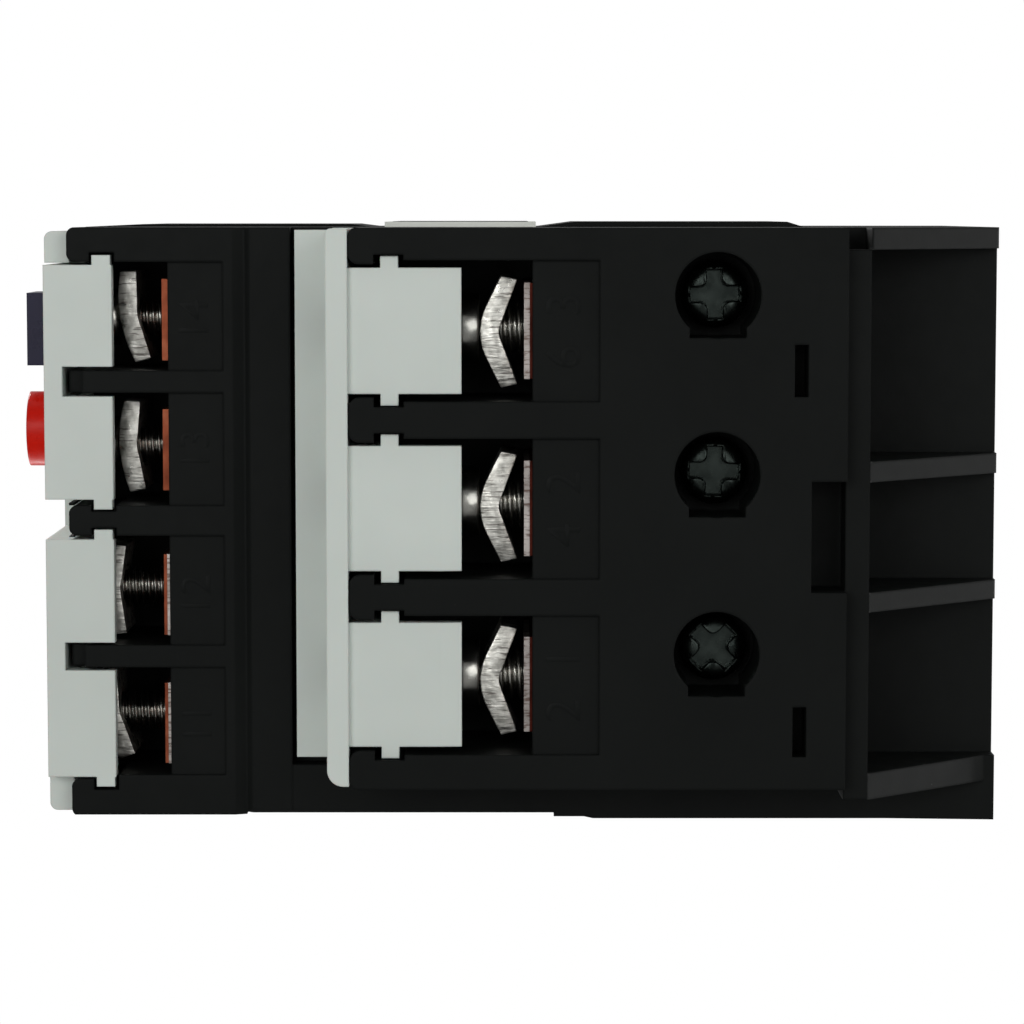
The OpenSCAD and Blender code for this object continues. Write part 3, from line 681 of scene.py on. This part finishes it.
def spring(node):
    """A wound compression spring in place of the CAD rings."""
    low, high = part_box(node)
    centre = middle(node)
    wire = 0.2 * MM
    radius = 1.9 * MM
    turns = 5.5
    start, end = low.y + wire, high.y - wire
    steps = int(turns * 24)
    points = []
    for k in range(steps + 1):
        t = k / steps
        rise = t + 0.0275 * math.sin(math.tau * 2 * t)
        points.append(Vector((
            centre.x + radius * math.cos(math.tau * turns * t), start + (end - start) * rise,
            centre.z + radius * math.sin(math.tau * turns * t)
        )))
    coil = helix(points, wire, Vector((0, 1, 0)))
    made = piece(f"{node}_wound", coil, "zinc_steel", "housing", replaced=[node])
    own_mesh(made)


def winding(node):
    """Heater wire wound on an insulating sleeve round the bimetal."""
    low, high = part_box(node)
    centre = middle(node)
    sleeve_x, sleeve_y = 1.1 * MM, 3.3 * MM
    wire = 0.36 * MM
    sleeve = block(
        (centre.x - sleeve_x, centre.y - sleeve_y, low.z), (centre.x + sleeve_x, centre.y + sleeve_y, high.z)
    )
    gap = Vector((0.42 * MM, 2.55 * MM, (high.z - low.z) / 2 + MM))
    core = block(centre - gap, centre + gap)
    tube = carve(sleeve, [core])
    piece(f"{node}_sleeve", tube, "pale_plastic", body_of_node[node], [node])
    turns = 13
    steps = turns * 28
    points = []
    for k in range(steps + 1):
        t = k / steps
        a = math.tau * turns * t
        c, s = math.cos(a), math.sin(a)
        # a rounded rectangle round the sleeve
        reach = 1 / max(abs(c) ** 6 + abs(s) ** 6, 1e-6) ** (1 / 6)
        points.append(Vector((
            centre.x + (sleeve_x + wire) * c * reach, centre.y + (sleeve_y + wire) * s * reach,
            low.z + 0.8 * MM + (high.z - low.z - 1.6 * MM) * t
        )))
    coil = helix(points, wire, Vector((0, 0, 1)))
    piece(f"{node}_wire", coil, "heater_wire", body_of_node[node])


def terminal_hardware():
    """The screws, clamps and tinned strips of the seven terminals."""
    power_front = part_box("power_nut_plates")[0].y - 0.6 * MM
    for k in (1, 2, 3):
        node = f"power_clamp_{k}"
        terminal_screw(f"power_screw_{k}", turn=0.4 * k, **POWER_SCREW)
        clamp(node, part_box(node)[0].y, shift=POWER_CLAMP_SHIFT, **POWER_CLAMP)
        hole = (3.5 * MM, 2.07 * MM)
        plating(f"load_terminal_{k}", power_front - SKIN, power_front + 0.4 * MM, 11 * MM, hole)
    for k, (fold, tilt) in enumerate(AUX_FOLDS, 1):
        terminal_screw(f"aux_screw_{k}", turn=0.5 * k, **AUX_SCREW)
        clamp(f"aux_clamp_{k}", fold, tilt=tilt, **AUX_CLAMP)
    aux_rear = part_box("aux_nut_plates")[0].y
    for k in (1, 2):
        plating(f"aux_terminal_{k}", aux_rear - 0.25 * MM, aux_rear - 0.01 * MM, 3 * MM)


def facing_down(x, y, z):
    """A place for characters on a face that looks down. Their tops are towards the front."""
    return Matrix(((1, 0, 0, x), (0, -1, 0, y), (0, 0, -1, z), (0, 0, 0, 1)))


def facing_front(x, y, z):
    """A place for characters on a face that looks to the front."""
    return Matrix(((1, 0, 0, x), (0, 0, -1, y), (0, 1, 0, z), (0, 0, 0, 1)))


def raised_text(name, words, size, place, material, body, height):
    """Raised characters: numbers only."""
    curve = bpy.data.curves.new(name, "FONT")
    curve.body = words
    curve.size = size
    curve.align_x = "CENTER"
    curve.align_y = "CENTER"
    curve.extrude = height / 2
    curve.bevel_depth = height * 0.12
    curve.bevel_resolution = 1
    holder = bpy.data.objects.new(name, curve)
    bpy.context.scene.collection.objects.link(holder)
    bpy.context.view_layer.update()
    letters = bpy.data.meshes.new_from_object(holder.evaluated_get(bpy.context.evaluated_depsgraph_get()))
    bm = bmesh.new()
    bm.from_mesh(letters)
    bpy.data.objects.remove(holder)
    bpy.data.meshes.remove(letters)
    moved(bm, place)
    piece(name, bm, material, body, smooth=30)


def terminal_numbers():
    """Raised numbers in the recesses beside each terminal."""
    pole_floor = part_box("base_housing")[0].z + 0.35 * MM
    for k in (1, 2, 3):
        place = facing_down(middle(f"power_screw_{k}").x, 5.2 * MM, pole_floor)
        words = f"{8 - 2 * k}  {4 - k}"
        raised_text(f"pole_number_{k}", words, 3.6 * MM, place, "moulded_mark", "housing", RELIEF)
    aux_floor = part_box("mechanism_housing")[0].z + 0.3 * MM
    for k in (1, 2, 3, 4):
        place = facing_down(middle(f"aux_screw_{k}").x, -22.7 * MM, aux_floor)
        raised_text(f"aux_number_{k}", f"{10 + k}", 3.2 * MM, place, "moulded_mark", "housing", RELIEF)


def dial_print():
    """The scale on the setting dial with its numbers, and the fixed mark above the dial."""
    low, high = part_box("setting_dial")
    centre = middle("setting_dial")
    dial = body_of_node["setting_dial"]
    radius = (high.x - low.x) / 2
    face = low.y
    first, last = joint_row("dial_turn")["range_deg"]
    # with the dial at rest the fixed mark, straight up, points to the middle of the scale
    angles = [math.radians(90 + first + (last - first) * k / 12) for k in range(13)]
    outer = radius - 0.4 * MM
    ticks = []
    for k, angle in enumerate(angles):
        length = (0.7 if k % 4 == 0 else 0.35) * MM
        line = block((outer - length, -SKIN, -0.06 * MM), (outer, SKIN, 0.06 * MM))
        place = Matrix.Translation((centre.x, face, centre.z)) @ Matrix.Rotation(-angle, 4, "Y")
        ticks.append(moved(line, place))
    piece("dial_scale", joined(ticks), "ink", dial)
    reach = radius - 1.75 * MM
    for k, (angle, words) in enumerate(zip(angles[::4], ("1.6", "1.9", "2.2", "2.5"))):
        place = facing_front(centre.x + reach * math.cos(angle), face, centre.z + reach * math.sin(angle))
        place = place @ Matrix.Rotation(angle - math.pi / 2, 4, "Z")
        raised_text(f"dial_number_{k + 1}", words, 1.15 * MM, place, "ink", dial, SKIN)
    near, far = radius + 0.4 * MM, radius + 1.7 * MM
    mark = prism([(0, near), (0.6 * MM, far), (-0.6 * MM, far)], 0, SKIN)
    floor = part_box("front_cover")[0].y + 1.15 * MM
    moved(mark, Matrix.Translation((centre.x, floor, centre.z)) @ Matrix.Rotation(math.pi / 2, 4, "X"))
    piece("dial_mark", mark, "ink", body_of_node["front_cover"])


def panel_print():
    """Marks on the panel: a frame round the two buttons, and a ring above the round one."""
    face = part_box("front_cover")[0].y
    stop_low, stop_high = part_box("stop_button")
    reset_low, reset_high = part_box("reset_button")
    x0, x1 = stop_low.x - 0.7 * MM, reset_high.x + 0.9 * MM
    z0, z1 = stop_low.z - 1.2 * MM, reset_high.z + 1.6 * MM
    t = 0.14 * MM
    front, back = face - SKIN, face + SKIN
    lines = [
        block((x0, front, z0), (x1, back, z0 + t)),
        block((x0, front, z1 - t), (x1, back, z1)),
        block((x0, front, z0), (x0 + t, back, z1)),
        block((x1 - t, front, z0), (x1, back, z1)),
    ]
    ring = bmesh.new()
    inner, outer = 0.42 * MM, 0.6 * MM
    lathe(ring, [(inner, -SKIN), (outer, -SKIN), (outer, SKIN), (inner, SKIN), (inner, -SKIN)], steps=32)
    place = Matrix.Translation((middle("stop_button").x, face, stop_high.z + 1.0 * MM))
    moved(ring, place @ Matrix.Rotation(math.pi / 2, 4, "X"))
    piece("panel_frame", joined(lines + [ring]), "ink", body_of_node["front_cover"])


def label_print(node, side):
    """A generic printed table on a rating label: lines and bars, no words."""
    low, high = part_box(node)
    face = high.x if side > 0 else low.x
    x0, x1 = face - SKIN, face + SKIN
    lines = []
    inset, t = 0.6 * MM, 0.12 * MM
    y0, y1, z0, z1 = low.y + inset, high.y - inset, low.z + inset, high.z - inset
    rows = 7
    for k in range(rows + 1):
        z = z0 + (z1 - z0 - t) * k / rows
        lines.append(block((x0, y0, z), (x1, y1, z + t)))
    for share in (0, 0.38, 1):
        y = y0 + (y1 - y0 - t) * share
        lines.append(block((x0, y, z0), (x1, y + t, z1)))
    step = (z1 - z0) / rows
    half = 0.28 * MM
    for k in range(rows):
        z = z0 + step * (k + 0.5)
        bars = (
            (y0 + 0.5 * MM, y0 + (2.2 + 0.5 * (k % 3)) * MM),
            (y0 + 4.9 * MM, y1 - (0.7 + 0.8 * (k % 4)) * MM),
        )
        for start, end in bars:
            lines.append(block((x0, start, z - half), (x1, end, z + half)))
    piece(f"{node}_print", joined(lines), "ink", body_of_node[node])


def finish_cad_nodes():
    """Every CAD node that stays in sight gets its own material."""
    for name, held in nodes.items():
        bare = name.startswith("load_terminal")
        held.data.materials.clear()
        held.data.materials.append(MATERIALS["bare_copper" if bare else slot_of_node[name]])


# ---------------------------------------------------------------- studio

def studio():
    world = bpy.data.worlds.new("studio")
    bpy.context.scene.world = world
    world.use_nodes = True
    tree = world.node_tree
    tree.nodes.clear()
    seen = tree.nodes.new("ShaderNodeBackground")
    seen.inputs["Color"].default_value = (1, 1, 1, 1)
    seen.inputs["Strength"].default_value = 1.0
    # white walls all round: brightest at the horizon, dimmer straight up and straight down
    ambient = tree.nodes.new("ShaderNodeBackground")
    ambient.inputs["Strength"].default_value = 1.5
    around = tree.nodes.new("ShaderNodeTexCoord")
    split = tree.nodes.new("ShaderNodeSeparateXYZ")
    height = tree.nodes.new("ShaderNodeMapRange")
    height.inputs["From Min"].default_value = -1
    walls = tree.nodes.new("ShaderNodeValToRGB")
    stops = [
        (0.0, 0.33), (0.06, 0.33), (0.13, 0.12), (0.33, 0.14),
        (0.45, 0.6), (0.52, 0.8), (0.6, 0.4), (1.0, 0.25),
    ]
    while len(walls.color_ramp.elements) < len(stops):
        walls.color_ramp.elements.new(0.5)
    for element, (position, level) in zip(walls.color_ramp.elements, stops):
        element.position = position
        element.color = (level, level, level, 1)
    tree.links.new(around.outputs["Generated"], split.inputs[0])
    tree.links.new(split.outputs["Z"], height.inputs["Value"])
    tree.links.new(height.outputs["Result"], walls.inputs["Fac"])
    tree.links.new(walls.outputs["Color"], ambient.inputs["Color"])
    path = tree.nodes.new("ShaderNodeLightPath")
    mix = tree.nodes.new("ShaderNodeMixShader")
    out = tree.nodes.new("ShaderNodeOutputWorld")
    tree.links.new(path.outputs["Is Camera Ray"], mix.inputs[0])
    tree.links.new(ambient.outputs[0], mix.inputs[1])
    tree.links.new(seen.outputs[0], mix.inputs[2])
    tree.links.new(mix.outputs[0], out.inputs[0])
    bpy.context.scene.view_settings.view_transform = "Standard"

    floor_mesh = bmesh.new()
    bmesh.ops.create_grid(floor_mesh, x_segments=1, y_segments=1, size=1.5)
    bmesh.ops.translate(floor_mesh, vec=(0, 0, cad_low.z - FLOOR_GAP), verts=floor_mesh.verts)
    mesh = bpy.data.meshes.new("floor")
    floor_mesh.to_mesh(mesh)
    floor = bpy.data.objects.new("floor", mesh)
    bpy.context.scene.collection.objects.link(floor)
    material = bpy.data.materials.new("floor")
    material.use_nodes = True
    nt = material.node_tree
    main = nt.nodes["Principled BSDF"]
    main.inputs["Base Color"].default_value = (0.86, 0.87, 0.87, 1)
    main.inputs["Roughness"].default_value = 0.6
    main.inputs["Emission Color"].default_value = (1, 1, 1, 1)
    # the floor brightens into the white walls with its distance from the object
    place = nt.nodes.new("ShaderNodeTexCoord")
    away = nt.nodes.new("ShaderNodeVectorMath")
    away.operation = "LENGTH"
    glow = nt.nodes.new("ShaderNodeMapRange")
    for key, number in (("From Min", 0.2), ("From Max", 0.8), ("To Min", 0), ("To Max", 0.7)):
        glow.inputs[key].default_value = number
    nt.links.new(place.outputs["Object"], away.inputs[0])
    nt.links.new(away.outputs["Value"], glow.inputs["Value"])
    nt.links.new(glow.outputs["Result"], main.inputs["Emission Strength"])
    # a floor only when it is seen from above, so that the view and the light from below pass through it
    geometry = nt.nodes.new("ShaderNodeNewGeometry")
    seen_by = nt.nodes.new("ShaderNodeLightPath")
    above = nt.nodes.new("ShaderNodeMath")
    above.operation = "SUBTRACT"
    above.use_clamp = True
    clear = nt.nodes.new("ShaderNodeBsdfTransparent")
    both = nt.nodes.new("ShaderNodeMixShader")
    nt.links.new(seen_by.outputs["Is Camera Ray"], above.inputs[0])
    nt.links.new(geometry.outputs["Backfacing"], above.inputs[1])
    nt.links.new(above.outputs[0], both.inputs[0])
    nt.links.new(clear.outputs[0], both.inputs[1])
    nt.links.new(main.outputs[0], both.inputs[2])
    nt.links.new(both.outputs[0], nt.nodes["Material Output"].inputs["Surface"])
    mesh.materials.append(material)


def softbox(name, place, target, size, power):
    light = bpy.data.lights.new(name, "AREA")
    light.shape = "RECTANGLE"
    light.size, light.size_y = size
    light.energy = power
    held = bpy.data.objects.new(name, light)
    bpy.context.scene.collection.objects.link(held)
    held.location = place
    held.rotation_mode = "QUATERNION"
    held.rotation_quaternion = (Vector(target) - Vector(place)).to_track_quat("-Z", "Y")


def lights():
    target = (cad_low + cad_high) / 2
    # below: the view that shows the terminals
    softbox("below_front", (0.12, -0.25, -0.5), target, (0.3, 0.3), 1.25)
    softbox("below_rear", (0.12, 0.25, -0.5), target, (0.3, 0.3), 0.7)
    softbox("below_back", (0.05, 0.50, -0.10), target, (0.5, 0.2), 0.6)
    # above: for every other view
    softbox("key", (0.35, -0.45, 0.55), target, (0.4, 0.4), 4.5)
    softbox("fill", (-0.5, -0.3, 0.35), target, (0.4, 0.4), 3.0)
    softbox("back", (-0.1, 0.55, 0.45), target, (0.4, 0.4), 4.0)


def camera():
    """Straight up at the underside from below, tilted a little, with the front of the relay at the left."""
    tilt = math.radians(4.937)
    data = bpy.data.cameras.new("camera")
    data.sensor_width = 36
    data.lens = 121.3
    data.clip_start = 0.01
    held = bpy.data.objects.new("camera", data)
    bpy.context.scene.collection.objects.link(held)
    right = Vector((0, 1, 0))
    up = Vector((math.cos(tilt), 0, math.sin(tilt)))
    back = right.cross(up)
    turn = Matrix((right, up, back)).transposed().to_4x4()
    held.matrix_world = Matrix.Translation((23.5 * MM, 1.3 * MM, -251.2 * MM)) @ turn
    bpy.context.scene.camera = held


studio()
lights()
camera()
finish_cad_nodes()
terminal_hardware()
fixing_screws()
spring("reset_spring")
spring("stop_spring")
for k in (1, 2, 3):
    winding(f"heater_winding_{k}")
terminal_numbers()
dial_print()
panel_print()
label_print("rating_label_right", 1)
label_print("rating_label_left", -1)
